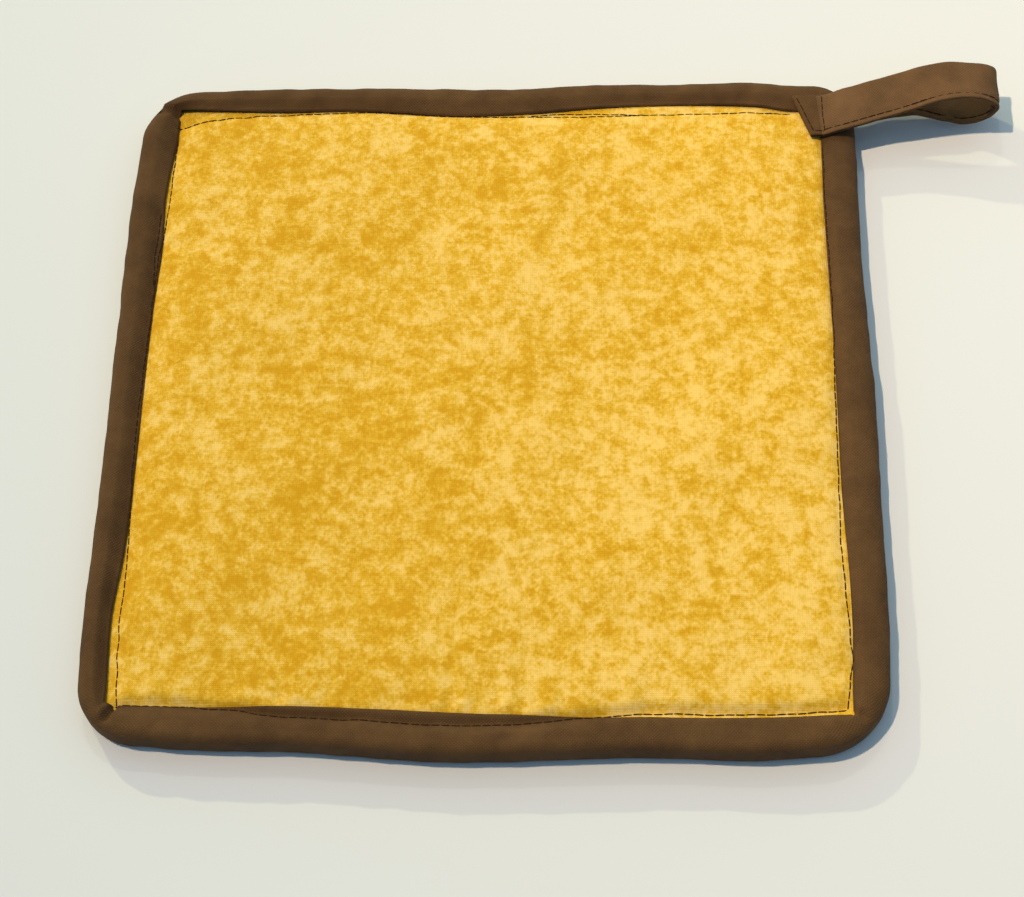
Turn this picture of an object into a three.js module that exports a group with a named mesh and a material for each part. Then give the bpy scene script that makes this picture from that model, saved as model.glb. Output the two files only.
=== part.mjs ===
// A square padded pot holder: a filled cotton pad, a folded brown binding
// sewn round its edge, and a hanging loop of the same tape at one corner.
// Millimetres, +Z up. It lies flat, with the origin under the middle of the
// pad at table level, +X to the loop's side and +Y to the far edge.

import * as THREE from 'three';

const air = 0.3; // left between one piece and the next

const pad = {
  crown: 8.4, // top of the filling at the middle
  squareness: 10, // power of the crown's curve: higher is flatter with steeper sides
  footing: 1.7, // how soon the underside comes down flat inside the seam
  rings: [0.985, 0.965, 0.935, 0.895, 0.84, 0.76, 0.63, 0.45], // shares of the way out
  footRings: [0.985, 0.965, 0.935, 0.9], // the same for the underside
  footTriangle: 70, // centre to corner of the middle triangle of the underside
};

const tape = {
  thickness: 1.0, // the folded tape, pressed
  rollTop: 8.8, // highest line of the binding over the table
  footDepth: 2.5, // how far in the lower round edge reaches
  footHeight: 2.0, // and how far up
};

// The four sides, each seen from the middle of the pad. at: place along the
// side in X or Y, fold: distance to the outer fold of the binding, hem:
// distance to its stitched inner edge. The unevenness is that of hand sewing.
const rightSide = [
  { at: -86, fold: 100.5, hem: 91.1 },
  { at: -70, fold: 101.3, hem: 92.0 },
  { at: -54, fold: 101.6, hem: 92.1 },
  { at: -30, fold: 101.7, hem: 91.5 },
  { at: -4, fold: 102.1, hem: 91.7 },
  { at: 16, fold: 101.7, hem: 91.8 },
  { at: 40, fold: 101.1, hem: 91.5 },
  { at: 62, fold: 101.3, hem: 91.4 },
  { at: 83, fold: 101.7, hem: 91.9 },
];
const topSide = [
  { at: -85, fold: 99.3, hem: 92.8 },
  { at: -61, fold: 100.4, hem: 92.3 },
  { at: -39, fold: 100.6, hem: 92.7 },
  { at: -10, fold: 100.3, hem: 90.9 },
  { at: 10, fold: 100.3, hem: 91.4 },
  { at: 30, fold: 101.4, hem: 93.2 },
  { at: 50, fold: 101.5, hem: 94.0 },
  { at: 70, fold: 101.8, hem: 93.6 },
  { at: 86, fold: 101.5, hem: 92.3 },
];
const leftSide = [
  { at: -85, fold: 99.7, hem: 92.3 },
  { at: -65, fold: 100.3, hem: 93.2 },
  { at: -47, fold: 100.3, hem: 91.9 },
  { at: -20, fold: 100.3, hem: 91.8 },
  { at: 10, fold: 100.8, hem: 92.0 },
  { at: 30, fold: 100.9, hem: 91.8 },
  { at: 46, fold: 101.2, hem: 91.3 },
  { at: 64, fold: 101.1, hem: 91.8 },
  { at: 84, fold: 100.3, hem: 90.3 },
];
const bottomSide = [
  { at: -85, fold: 97.9, hem: 89.1 },
  { at: -67, fold: 99.0, hem: 89.5 },
  { at: -45, fold: 99.3, hem: 89.6 },
  { at: -23, fold: 100.9, hem: 90.4 },
  { at: -4, fold: 101.7, hem: 91.2 },
  { at: 20, fold: 100.8, hem: 91.6 },
  { at: 42, fold: 100.2, hem: 91.7 },
  { at: 66, fold: 100.8, hem: 91.8 },
  { at: 86, fold: 99.3, hem: 91.1 },
];

// Counter-clockwise from the loop's side. sense: which way the table's places
// run on that walk, cornerRadius: outer radius of the corner at the walk's end,
// hemDrop: how far the binding's inner edge lies below its top, roundDepth and
// roundHeight: how far in and down the round part reaches from its top.
const sides = [
  {
    rows: rightSide,
    sense: 1,
    cornerRadius: 11.5,
    hemDrop: 1.2,
    roundDepth: 5.8,
    roundHeight: 3.4,
  },
  {
    rows: topSide,
    sense: -1,
    cornerRadius: 16,
    hemDrop: 1.5,
    roundDepth: 3.4,
    roundHeight: 2.8,
  },
  {
    rows: leftSide,
    sense: -1,
    cornerRadius: 16,
    hemDrop: 2.0,
    roundDepth: 3.2,
    roundHeight: 2.8,
  },
  {
    rows: bottomSide,
    sense: 1,
    cornerRadius: 20,
    hemDrop: 0.8,
    roundDepth: 3.6,
    roundHeight: 3.6,
  },
];
const endTurn = 0.005; // how fast a side turns inwards beyond its table, per mm
const sideSteps = 16; // stations along one side
const cornerSteps = 6; // stations round one corner
const roundSteps = 3; // faces round each of the fold's two round edges
const riseSteps = 2; // faces between the hem and the fold's top

// The loop's end is sewn down on the corner, which flattens what is under it.
const sewnCorner = { x: 83, y: 82, fade: 9, drop: 1.0 };

// The loop's tape from its sewn end, out over the top, round the bend and
// back to the corner. x and z follow the middle of its thickness.
// near: edge towards the pad's middle, far: the other edge.
const loopSections = [
  { nearX: 88.7, nearY: 81.9, nearZ: 7.4, farX: 83.7, farY: 95.4, farZ: 8.5 },
  { nearX: 92.4, nearY: 82.6, nearZ: 8.2, farX: 91.5, farY: 95.9, farZ: 9.0 },
  { nearX: 97.0, nearY: 83.6, nearZ: 9.9, farX: 97.0, farY: 96.6, farZ: 10.1 },
  { nearX: 102.1, nearY: 84.7, nearZ: 10.5, farX: 102.1, farY: 97.5, farZ: 11.5 },
  { nearX: 108.2, nearY: 85.7, nearZ: 11.1, farX: 108.2, farY: 98.5, farZ: 12.8 },
  { nearX: 114.2, nearY: 86.6, nearZ: 12.3, farX: 114.2, farY: 99.4, farZ: 14.2 },
  { nearX: 120.7, nearY: 87.8, nearZ: 14.4, farX: 120.7, farY: 100.6, farZ: 15.6 },
  { nearX: 128.2, nearY: 88.8, nearZ: 15.8, farX: 128.2, farY: 101.5, farZ: 16.2 },
  { nearX: 134.9, nearY: 89.0, nearZ: 15.5, farX: 135.6, farY: 101.7, farZ: 15.0 },
  { nearX: 139.4, nearY: 89.0, nearZ: 13.5, farX: 140.3, farY: 101.7, farZ: 13.5 },
  { nearX: 140.9, nearY: 89.0, nearZ: 10.5, farX: 141.2, farY: 101.7, farZ: 10.5 },
  { nearX: 139.5, nearY: 89.0, nearZ: 7.6, farX: 139.5, farY: 101.7, farZ: 7.5 },
  { nearX: 136.5, nearY: 89.0, nearZ: 5.3, farX: 136.5, farY: 101.7, farZ: 5.2 },
  { nearX: 132.2, nearY: 89.2, nearZ: 4.1, farX: 132.2, farY: 101.8, farZ: 4.0 },
  { nearX: 127.8, nearY: 89.5, nearZ: 4.7, farX: 127.8, farY: 102.0, farZ: 4.9 },
  { nearX: 124.0, nearY: 90.0, nearZ: 5.5, farX: 124.0, farY: 102.5, farZ: 5.9 },
  { nearX: 119.4, nearY: 90.8, nearZ: 6.0, farX: 119.4, farY: 103.3, farZ: 6.6 },
  { nearX: 114.2, nearY: 91.0, nearZ: 6.2, farX: 114.2, farY: 103.6, farZ: 6.8 },
  { nearX: 108.6, nearY: 90.2, nearZ: 6.0, farX: 108.6, farY: 102.8, farZ: 6.4 },
  { nearX: 104.6, nearY: 89.2, nearZ: 5.8, farX: 104.2, farY: 101.5, farZ: 6.0 },
  { nearX: 102.4, nearY: 88.7, nearZ: 5.7, farX: 101.0, farY: 100.9, farZ: 5.7 },
];
const loopSteps = 3; // between one section and the next

const yellowPrint = new THREE.MeshStandardMaterial({
  color: 0xeeb83c,
  roughness: 0.9,
  metalness: 0,
});
const brownTape = new THREE.MeshStandardMaterial({
  color: 0x5f4630,
  roughness: 0.85,
  metalness: 0,
});

// A smooth curve through a column of a table, turning slowly inwards beyond its ends.
function tableValue(rows, at, column) {
  const last = rows.length - 1;
  if (at <= rows[0].at) {
    return rows[0][column] - endTurn * (at - rows[0].at) ** 2;
  }
  if (at >= rows[last].at) {
    return rows[last][column] - endTurn * (at - rows[last].at) ** 2;
  }
  const low = rows.findIndex((row) => row.at > at) - 1;
  const slope = (index) => {
    const before = rows[Math.max(index - 1, 0)];
    const after = rows[Math.min(index + 1, last)];
    return (after[column] - before[column]) / (after.at - before.at);
  };
  const span = rows[low + 1].at - rows[low].at;
  const t = (at - rows[low].at) / span;
  const start = rows[low][column];
  const end = rows[low + 1][column];
  return (
    start * (2 * t ** 3 - 3 * t ** 2 + 1) +
    end * (3 * t ** 2 - 2 * t ** 3) +
    slope(low) * span * (t ** 3 - 2 * t ** 2 + t) +
    slope(low + 1) * span * (t ** 3 - t ** 2)
  );
}

// A place beside one side: out is its distance from the middle line, along
// runs counter-clockwise, and turn counts the quarter turns from the first side.
function placeOnSide(turn, out, along) {
  const angle = (turn * Math.PI) / 2;
  return new THREE.Vector2(out, along).rotateAround(new THREE.Vector2(), angle);
}

// The section's measures on the way from one side to the next.
function sectionShape(side, after, share) {
  const shape = {};
  for (const key of ['hemDrop', 'roundDepth', 'roundHeight']) {
    shape[key] = THREE.MathUtils.lerp(side[key], after[key], share);
  }
  return shape;
}

// Pairs of points right round the pad: on the hem line and on the outer fold.
// The fold's corners are round, the hem's are mitred. A corner's radius is
// more than the binding is wide, so the fold starts to turn before the hem.
function walkAround() {
  const stations = [];
  sides.forEach((side, turn) => {
    const before = sides[(turn + 3) % 4];
    const after = sides[(turn + 1) % 4];
    const atEnd = (one, end, column) => tableValue(one.rows, end * one.sense * 90, column);
    const foldEnd = atEnd(side, 1, 'fold');
    const radius = side.cornerRadius;
    const start = before.cornerRadius - atEnd(before, 1, 'fold');
    const stop = atEnd(after, -1, 'fold') - radius;
    const hemCorner = atEnd(after, -1, 'hem');
    const onHem = (one, oneTurn, along) =>
      placeOnSide(oneTurn, tableValue(one.rows, one.sense * along, 'hem'), along);

    for (let step = 0; step < sideSteps; step += 1) {
      const along = THREE.MathUtils.lerp(start, stop, step / sideSteps);
      const out = tableValue(side.rows, side.sense * along, 'fold');
      stations.push({
        fold: placeOnSide(turn, out, along),
        hem: onHem(side, turn, along),
        ...sectionShape(side, after, 0),
      });
    }
    for (let step = 0; step < cornerSteps; step += 1) {
      const share = step / cornerSteps;
      const angle = share * (Math.PI / 2);
      const out = foldEnd + radius * (Math.cos(angle) - 1);
      const beforeMitre = THREE.MathUtils.lerp(stop, hemCorner, 2 * share);
      const nextStart = radius - foldEnd;
      const nextCorner = -atEnd(side, 1, 'hem');
      const afterMitre = THREE.MathUtils.lerp(nextCorner, nextStart, 2 * share - 1);
      stations.push({
        fold: placeOnSide(turn, out, stop + radius * Math.sin(angle)),
        hem: share < 0.5 ? onHem(side, turn, beforeMitre) : onHem(after, turn + 1, afterMitre),
        ...sectionShape(side, after, share),
      });
    }
  });
  return stations;
}

// 1 where the loop's end holds the corner down, fading to 0 around it.
function pressedDown(x, y) {
  const { smoothstep } = THREE.MathUtils;
  return (
    smoothstep(x, sewnCorner.x - sewnCorner.fade, sewnCorner.x) *
    smoothstep(y, sewnCorner.y - sewnCorner.fade, sewnCorner.y)
  );
}

// The binding's folded section at one station, at a depth below its outer
// face: in from the hem on top, over the round edge, down the outer fold,
// round the lower edge, and back to the hem below.
function foldSection(station, depth) {
  const outward = station.fold.clone().sub(station.hem);
  const width = outward.length();
  outward.normalize();
  const top = tape.rollTop - sewnCorner.drop * pressedDown(station.hem.x, station.hem.y);
  const place = (reach, z) => {
    const point = station.hem.clone().addScaledVector(outward, reach);
    return new THREE.Vector3(point.x, point.y, z);
  };
  const points = [];
  const roundDepth = Math.min(station.roundDepth, 0.75 * width);
  const straight = width - roundDepth;
  for (let step = 0; step < riseSteps; step += 1) {
    const share = step / riseSteps;
    points.push(place(share * straight, top - depth - station.hemDrop * (1 - share) ** 2));
  }
  const roundMiddle = top - station.roundHeight;
  for (let step = 0; step <= roundSteps; step += 1) {
    const angle = (1 - step / roundSteps) * (Math.PI / 2);
    const reach = straight + (roundDepth - depth) * Math.cos(angle);
    points.push(place(reach, roundMiddle + (station.roundHeight - depth) * Math.sin(angle)));
  }
  for (let step = 0; step <= roundSteps; step += 1) {
    const angle = (step / roundSteps) * (Math.PI / 2);
    const reach = width - tape.footDepth + (tape.footDepth - depth) * Math.cos(angle);
    points.push(place(reach, tape.footHeight - (tape.footHeight - depth) * Math.sin(angle)));
  }
  points.push(place(0, depth));
  return points;
}

// How full the pad is at a place: 0 on the seam, 1 at the middle.
function fullness(x, y) {
  const [right, top, left, bottom] = sides;
  const acrossX = tableValue(x > 0 ? right.rows : left.rows, y, 'hem');
  const acrossY = tableValue(y > 0 ? top.rows : bottom.rows, x, 'hem');
  const u = Math.min(Math.abs(x) / acrossX, 1);
  const v = Math.min(Math.abs(y) / acrossY, 1);
  return (1 - u ** pad.squareness) * (1 - v ** pad.squareness);
}

// Joins rings of equal length into a skin. A closed skin's last ring meets its first.
function skinIndices(ringCount, ringLength, closed) {
  const indices = [];
  const gaps = closed ? ringCount : ringCount - 1;
  for (let ring = 0; ring < gaps; ring += 1) {
    const here = ring * ringLength;
    const there = ((ring + 1) % ringCount) * ringLength;
    for (let point = 0; point < ringLength; point += 1) {
      const next = (point + 1) % ringLength;
      indices.push(here + point, there + point, there + next);
      indices.push(here + point, there + next, here + next);
    }
  }
  return indices;
}

function solidFrom(points, indices) {
  const geometry = new THREE.BufferGeometry();
  geometry.setAttribute(
    'position',
    new THREE.Float32BufferAttribute(points.flatMap((point) => point.toArray()), 3),
  );
  geometry.setIndex(indices);
  geometry.computeVertexNormals();
  return geometry;
}

// The filled pad, from a cap over its middle out to the seam, round the edge
// that the binding holds, and back to the flat of its underside.
function makePad(stations) {
  const inside = stations.map((station) => foldSection(station, tape.thickness + air));
  const edgeLength = inside[0].length;
  const rings = [];
  for (const share of [...pad.rings].reverse()) {
    rings.push(inside.map((section) => {
      const x = section[0].x * share;
      const y = section[0].y * share;
      const rise = (pad.crown - section[0].z) * fullness(x, y);
      return new THREE.Vector3(x, y, section[0].z + rise);
    }));
  }
  for (let index = 0; index < edgeLength; index += 1) {
    rings.push(inside.map((section) => section[index]));
  }
  for (const share of pad.footRings) {
    rings.push(inside.map((section) => {
      const foot = section[edgeLength - 1];
      const x = foot.x * share;
      const y = foot.y * share;
      const lift = foot.z * Math.max(0, 1 - pad.footing * fullness(x, y));
      const isLast = share === pad.footRings[pad.footRings.length - 1];
      return new THREE.Vector3(x, y, isLast ? 0 : lift);
    }));
  }
  const ringLength = stations.length;
  const points = rings.flat();
  const indices = skinIndices(rings.length, ringLength, false);
  const flat = (ring) => ring.map((point) => new THREE.Vector2(point.x, point.y));

  const cap = THREE.ShapeUtils.triangulateShape(flat(rings[0]), []);
  cap.forEach(([a, b, c]) => indices.push(a, b, c));

  const triangle = [0, 1, 2].map((corner) => {
    const angle = Math.PI / 2 + (corner * 2 * Math.PI) / 3;
    const point = new THREE.Vector2(pad.footTriangle, 0);
    return point.rotateAround(new THREE.Vector2(), angle);
  });
  const first = points.length - ringLength;
  triangle.forEach((corner) => points.push(new THREE.Vector3(corner.x, corner.y, 0)));
  const outline = flat(rings[rings.length - 1]);
  const foot = THREE.ShapeUtils.triangulateShape(outline, [triangle]);
  foot.forEach(([a, b, c]) => indices.push(first + a, first + c, first + b));
  indices.push(first + ringLength, first + ringLength + 2, first + ringLength + 1);
  return solidFrom(points, indices);
}

// The binding: one folded strip of cloth right round the pad's edge.
function makeBinding(stations) {
  const sections = stations.map((station) => [
    ...foldSection(station, tape.thickness),
    ...foldSection(station, 0).reverse(),
  ]);
  return solidFrom(sections.flat(), skinIndices(sections.length, sections[0].length, true));
}

// The hanging loop: a flat tape whose two edges follow the table's sections.
function makeLoop() {
  const edge = (name) => new THREE.CatmullRomCurve3(loopSections.map(
    (row) => new THREE.Vector3(row[`${name}X`], row[`${name}Y`], row[`${name}Z`]),
  ));
  const near = edge('near');
  const far = edge('far');
  const count = (loopSections.length - 1) * loopSteps;
  const sections = [];
  for (let step = 0; step <= count; step += 1) {
    const share = step / count;
    const nearPoint = near.getPoint(share);
    const farPoint = far.getPoint(share);
    const ahead = near.getTangent(share).add(far.getTangent(share));
    const across = farPoint.clone().sub(nearPoint);
    const outward = ahead.cross(across).setLength(tape.thickness / 2);
    sections.push([
      nearPoint.clone().add(outward),
      farPoint.clone().add(outward),
      farPoint.clone().sub(outward),
      nearPoint.clone().sub(outward),
    ]);
  }
  const indices = skinIndices(sections.length, 4, false);
  const last = (sections.length - 1) * 4;
  indices.push(0, 1, 2, 0, 2, 3);
  indices.push(last, last + 2, last + 1, last, last + 3, last + 2);
  return solidFrom(sections.flat(), indices);
}

function named(name, geometry, material) {
  const mesh = new THREE.Mesh(geometry, material);
  mesh.name = name;
  return mesh;
}

const stations = walkAround();
const potHolder = new THREE.Group();
potHolder.add(named('pad', makePad(stations), yellowPrint));
potHolder.add(named('binding', makeBinding(stations), brownTape));
potHolder.add(named('hanging_loop', makeLoop(), brownTape.clone()));

export default potHolder;
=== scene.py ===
import math

import bpy
import numpy as np
from mathutils import Matrix, Vector
from mathutils.bvhtree import BVHTree


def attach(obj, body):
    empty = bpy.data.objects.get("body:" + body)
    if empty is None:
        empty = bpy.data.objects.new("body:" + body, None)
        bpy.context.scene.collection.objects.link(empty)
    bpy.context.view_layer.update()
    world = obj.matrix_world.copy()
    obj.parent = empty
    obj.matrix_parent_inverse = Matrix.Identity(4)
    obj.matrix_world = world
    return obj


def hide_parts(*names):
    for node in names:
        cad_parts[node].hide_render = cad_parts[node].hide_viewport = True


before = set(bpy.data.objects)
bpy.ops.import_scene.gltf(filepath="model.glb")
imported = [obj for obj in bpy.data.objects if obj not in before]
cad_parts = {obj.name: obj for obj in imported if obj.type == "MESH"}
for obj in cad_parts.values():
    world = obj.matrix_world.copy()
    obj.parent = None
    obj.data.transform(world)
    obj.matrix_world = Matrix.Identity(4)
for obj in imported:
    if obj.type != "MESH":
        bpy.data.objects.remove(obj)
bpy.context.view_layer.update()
mm = 0.001  # sizes here are in mm, Blender's are in metres

# The four sides, seen from the middle of the pad, all in mm. at: place along the side in X or Y,
# fold: how far out the binding's outer fold is, hem: how far out its sewn inner edge is. seams:
# the lines of stitching beside it, which wander on and off the binding as hand-guided sewing
# does. pucker: how high the thread gathers the pad, sink and groove: how deep it sinks into the
# cloth and how far to each side, hemDrop: how far the hem lies below the binding's top,
# roundDepth and roundHeight: how far in and down the round part reaches from that top.
sides = {
    "right": {
        "at": [-86, -70, -54, -30, -4, 16, 40, 62, 83],
        "fold": [100.5, 101.3, 101.6, 101.7, 102.1, 101.7, 101.1, 101.3, 101.7],
        "hem": [91.1, 92.0, 92.1, 91.5, 91.7, 91.8, 91.5, 91.4, 91.9],
        "seams": [
            {"at": [-89, -82, -77, -70, -60, -50, -42, -32, -18, -4, 8, 18, 40, 60, 80],
             "out": [89.9, 90.7, 91.6, 91.5, 91.1, 90.7, 90.5, 90.8, 91.1, 91.3, 91.6, 92.0, 91.9,
                     91.8, 92.1]},
        ],
        "pucker": 0.15, "sink": 0.45, "groove": 0.9,
        "hemDrop": 1.2, "roundDepth": 5.8, "roundHeight": 3.4,
    },
    "top": {
        "at": [-85, -61, -39, -10, 10, 30, 50, 70, 86],
        "fold": [99.3, 100.4, 100.6, 100.3, 100.3, 101.4, 101.5, 101.8, 101.5],
        "hem": [92.8, 92.3, 92.7, 90.9, 91.4, 93.2, 94.0, 93.6, 92.3],
        "seams": [
            {"at": [-91, -79, -69, -59, -47, -37, -30, -20, -10, 10, 30, 50, 68, 84],
             "out": [87.1, 89.8, 91.0, 91.6, 92.1, 92.4, 92.2, 91.4, 90.7, 90.4, 90.2, 90.8, 91.2,
                     91.6]},
            {"at": [10, 20, 30, 43],
             "out": [90.8, 91.4, 91.1, 90.6]},
        ],
        "pucker": 0.12, "sink": 0.45, "groove": 0.9,
        "hemDrop": 1.5, "roundDepth": 3.4, "roundHeight": 2.8,
    },
    "left": {
        "at": [-85, -65, -47, -20, 10, 30, 46, 64, 84],
        "fold": [99.7, 100.3, 100.3, 100.3, 100.8, 100.9, 101.2, 101.1, 100.3],
        "hem": [92.3, 93.2, 91.9, 91.8, 92.0, 91.8, 91.3, 91.8, 90.3],
        "seams": [
            {"at": [-89, -81, -74, -65, -54, -44, -35, -24, 0, 30, 45, 52, 60, 70, 84],
             "out": [89.6, 90.1, 90.7, 91.1, 90.9, 91.3, 91.6, 92.3, 92.5, 92.2, 91.8, 91.2, 90.8,
                     90.6, 90.3]},
            {"at": [34, 44, 58],
             "out": [92.4, 92.8, 92.5]},
        ],
        "pucker": 0.15, "sink": 0.60, "groove": 1.0,
        "hemDrop": 2.4, "roundDepth": 3.2, "roundHeight": 2.8,
    },
    "bottom": {
        "at": [-85, -67, -45, -23, -4, 20, 42, 66, 86],
        "fold": [97.9, 99.0, 99.3, 100.9, 101.7, 100.8, 100.2, 100.8, 99.3],
        "hem": [89.0, 89.4, 89.5, 90.3, 91.1, 91.5, 91.6, 91.7, 91.0],
        "seams": [
            {"at": [-90, -76, -67, -59, -51, -39, -29, -18, -8, 4, 12, 22, 32, 40, 60, 78, 90],
             "out": [89.1, 89.2, 89.9, 90.5, 91.8, 92.4, 92.8, 93.7, 94.0, 93.9, 93.4, 92.3, 91.3,
                     90.5, 90.7, 90.2, 89.1]},
        ],
        "pucker": 0.30, "sink": 1.50, "groove": 1.5,
        "hemDrop": 0.5, "roundDepth": 2.6, "roundHeight": 1.9,
    },
}
order = ["right", "top", "left", "bottom"]  # counter-clockwise, as the corners below
outerRadius = [11.5, 17.5, 15.5, 19.5]  # mm, of the fold at the end of each side
endTurn = 0.005  # how fast a side turns inwards beyond its table, per mm
cornerPlace = 90  # mm from the middle along a side, about where the hem turns the corner

# The loop's sewn end holds the corner down.
sewnCorner = {"x": 83, "y": 82, "fade": 9, "drop": 1.0}


def curveThrough(xs, ys, x):
    # a smooth curve through a short table, turning slowly inwards beyond its ends
    xs, ys = np.array(xs, float), np.array(ys, float)
    beyond = np.maximum(xs[0] - x, 0) + np.maximum(x - xs[-1], 0)
    index = np.arange(len(xs))
    before, after = np.maximum(index - 1, 0), np.minimum(index + 1, len(xs) - 1)
    slope = (ys[after] - ys[before]) / (xs[after] - xs[before])
    x = np.clip(x, xs[0], xs[-1])
    low = np.clip(np.searchsorted(xs, x, side="right") - 1, 0, len(xs) - 2)
    span = xs[low + 1] - xs[low]
    t = (x - xs[low]) / span
    return (
        ys[low] * (2 * t**3 - 3 * t**2 + 1)
        + ys[low + 1] * (3 * t**2 - 2 * t**3)
        + slope[low] * span * (t**3 - 2 * t**2 + t)
        + slope[low + 1] * span * (t**3 - t**2)
        - endTurn * beyond**2
    )


def easeIn(value, start, stop):
    # 0 up to start, 1 from stop on, and a smooth rise between them
    t = np.clip((value - start) / (stop - start), 0, 1)
    return t * t * (3 - 2 * t)


def softNoise(x, y, size, seed, waves=20):
    # an uneven field of about -1 to 1, summed from plane waves near one size in mm
    rng = np.random.default_rng(seed)
    total = np.zeros(np.broadcast(x, y).shape)
    for _ in range(waves):
        heading, phase = rng.uniform(0, 2 * math.pi, 2)
        pitch = size * rng.uniform(0.7, 1.5)
        crossed = x * math.cos(heading) + y * math.sin(heading)
        total += np.sin(crossed * 2 * math.pi / pitch + phase)
    return total * math.sqrt(2 / waves)


def seenFrom(name, x, y):
    # (distance out towards a side, place along it)
    return {"right": (x, y), "top": (y, x), "left": (-x, y), "bottom": (-y, x)}[name]


def alongHem(name, along, column="hem"):
    # how far out a side's hem is, or another line of its table
    return curveThrough(sides[name]["at"], sides[name][column], along)


def pressedDown(x, y):
    # the share of the sewn corner's drop at a place
    corner = sewnCorner
    across = easeIn(x, corner["x"] - corner["fade"], corner["x"])
    return across * easeIn(y, corner["y"] - corner["fade"], corner["y"])


seamLook = {
    "stitch": 2.5,  # mm from one needle hole to the next
    "thread": 0.16,  # mm, the thread's radius
    "sides": 6,  # of the thread's section
    "steps": 8,  # points along a stitch
    "wander": (0.07, 9, 60),  # mm, mm long and seed, of the seam's small unevenness
    "ends": (2, 1),  # mm before and past a seam's end where its groove begins and is full
    "ray": 0.25,  # mm between the places where a seam is laid on the cloth
}


def sewnDown(x, y):
    # how far the stitching pulls the cloth down at a place, in mm
    depth = np.zeros(np.broadcast(x, y).shape)
    before, past = seamLook["ends"]
    for name, side in sides.items():
        out, along = seenFrom(name, x, y)
        for seam in side["seams"]:
            middle = curveThrough(seam["at"], seam["out"], along)
            first, last = seam["at"][0], seam["at"][-1]
            reach = easeIn(along, first - before, first + past)
            reach = reach * easeIn(-along, -last - before, -last + past)
            dent = np.exp(-(((out - middle) / side["groove"]) ** 2))
            depth = np.maximum(depth, side["sink"] * reach * dent)
    return depth


def meshObject(name, points, faces, uvs=None, smooth=True):
    # points in mm, uvs one for each point
    mesh = bpy.data.meshes.new(name)
    mesh.from_pydata((np.asarray(points) * mm).tolist(), [], faces)
    if uvs is not None:
        layer = mesh.uv_layers.new(name="tape")
        corner = np.empty(len(mesh.loops), np.int32)
        mesh.loops.foreach_get("vertex_index", corner)
        layer.data.foreach_set("uv", np.asarray(uvs, np.float32)[corner].ravel())
    mesh.polygons.foreach_set("use_smooth", [smooth] * len(mesh.polygons))
    mesh.update()
    made = bpy.data.objects.new(name, mesh)
    bpy.context.scene.collection.objects.link(made)
    return made


def gridFaces(rows, columns, start=0, closeRows=False, closeColumns=False, flip=False):
    # quads of a grid of points that is stored row by row
    r = np.arange(rows if closeRows else rows - 1)
    c = np.arange(columns if closeColumns else columns - 1)
    row, column = np.meshgrid(r, c, indexing="ij")
    nextRow, nextColumn = (row + 1) % rows, (column + 1) % columns
    quads = [row * columns + column, row * columns + nextColumn,
             nextRow * columns + nextColumn, nextRow * columns + column]
    quads = np.stack(quads[::-1] if flip else quads, -1).reshape(-1, 4) + start
    return quads.tolist()


padLook = {
    "crown": 8.4,  # mm, the top of the filling at the middle
    "squareness": 12,  # power of the crown's curve
    "footLift": 0.9,  # mm that the underside rises to at the seam
    "footRun": 1.7,  # how fast it comes down to the table as the filling thickens
    "footSink": 0.5,  # the share of the seams' depth that it has too
    "tuck": 2.2,  # mm of the pad that the binding covers
    "tuckDrop": 0.9,  # mm that the covered rim lies lower
    "tuckFade": (-0.2, 1.2),  # mm beyond the hem where that drop begins and is full
    "cells": 184,  # grid squares across, about 1 mm each
    "waves": [(0.16, 55, 3), (0.07, 22, 4)],  # mm high, mm long and seed, of the uneven filling
    "puckerLength": 6.5,  # mm from one pucker to the next
    "puckerFade": 5.0,  # mm inwards that a pucker reaches
    "puckerStart": (0.4, 2.4),  # mm in from the hem where the puckers begin and are full
    "cornerBlend": 3.0,  # mm over which one side's measures go over into the next one's
}


def beyondHem(x, y):
    # mm that a place lies outwards of the binding's sewn edge, under the binding
    distances = []
    for name in sides:
        out, along = seenFrom(name, x, y)
        distances.append(out - alongHem(name, along))
    return np.max(distances, axis=0)


def nearestSide(x, y, key):
    # a measure of the sides at a place: that of the nearest one, blended in the corners
    total, weights = 0, 0
    for name, side in sides.items():
        out, along = seenFrom(name, x, y)
        weight = np.exp(out / padLook["cornerBlend"])
        total = total + weight * side[key]
        weights = weights + weight
    return total / weights


def hemReach(x, y):
    # how far out the hem is in X and in Y, on the side of the middle where a place lies
    acrossX = np.where(x > 0, alongHem("right", y), alongHem("left", y))
    acrossY = np.where(y > 0, alongHem("top", x), alongHem("bottom", x))
    return acrossX, acrossY


def fullness(x, y):
    # the share of the crown's height, from 0 at the hem to 1 over most of the pad
    acrossX, acrossY = hemReach(x, y)
    u, v = np.minimum(np.abs(x) / acrossX, 1), np.minimum(np.abs(y) / acrossY, 1)
    power = padLook["squareness"]
    return (1 - u**power) * (1 - v**power)


def puckers(x, y):
    # short ridges square to each seam, where the thread gathers the cloth
    height = np.zeros(np.broadcast(x, y).shape)
    spacing = padLook["puckerLength"]
    for seed, (name, side) in enumerate(sides.items()):
        out, along = seenFrom(name, x, y)
        inside = np.clip(alongHem(name, along) - out, 0, None)
        ridge = softNoise(along, along * 0, spacing, 40 + seed)
        lean = softNoise(along + 0.3 * inside, inside * 0.4, spacing * 1.7, 50 + seed)
        height += side["pucker"] * (ridge + 0.6 * lean) * np.exp(-inside / padLook["puckerFade"])
    return height * easeIn(-beyondHem(x, y), *padLook["puckerStart"])


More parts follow.
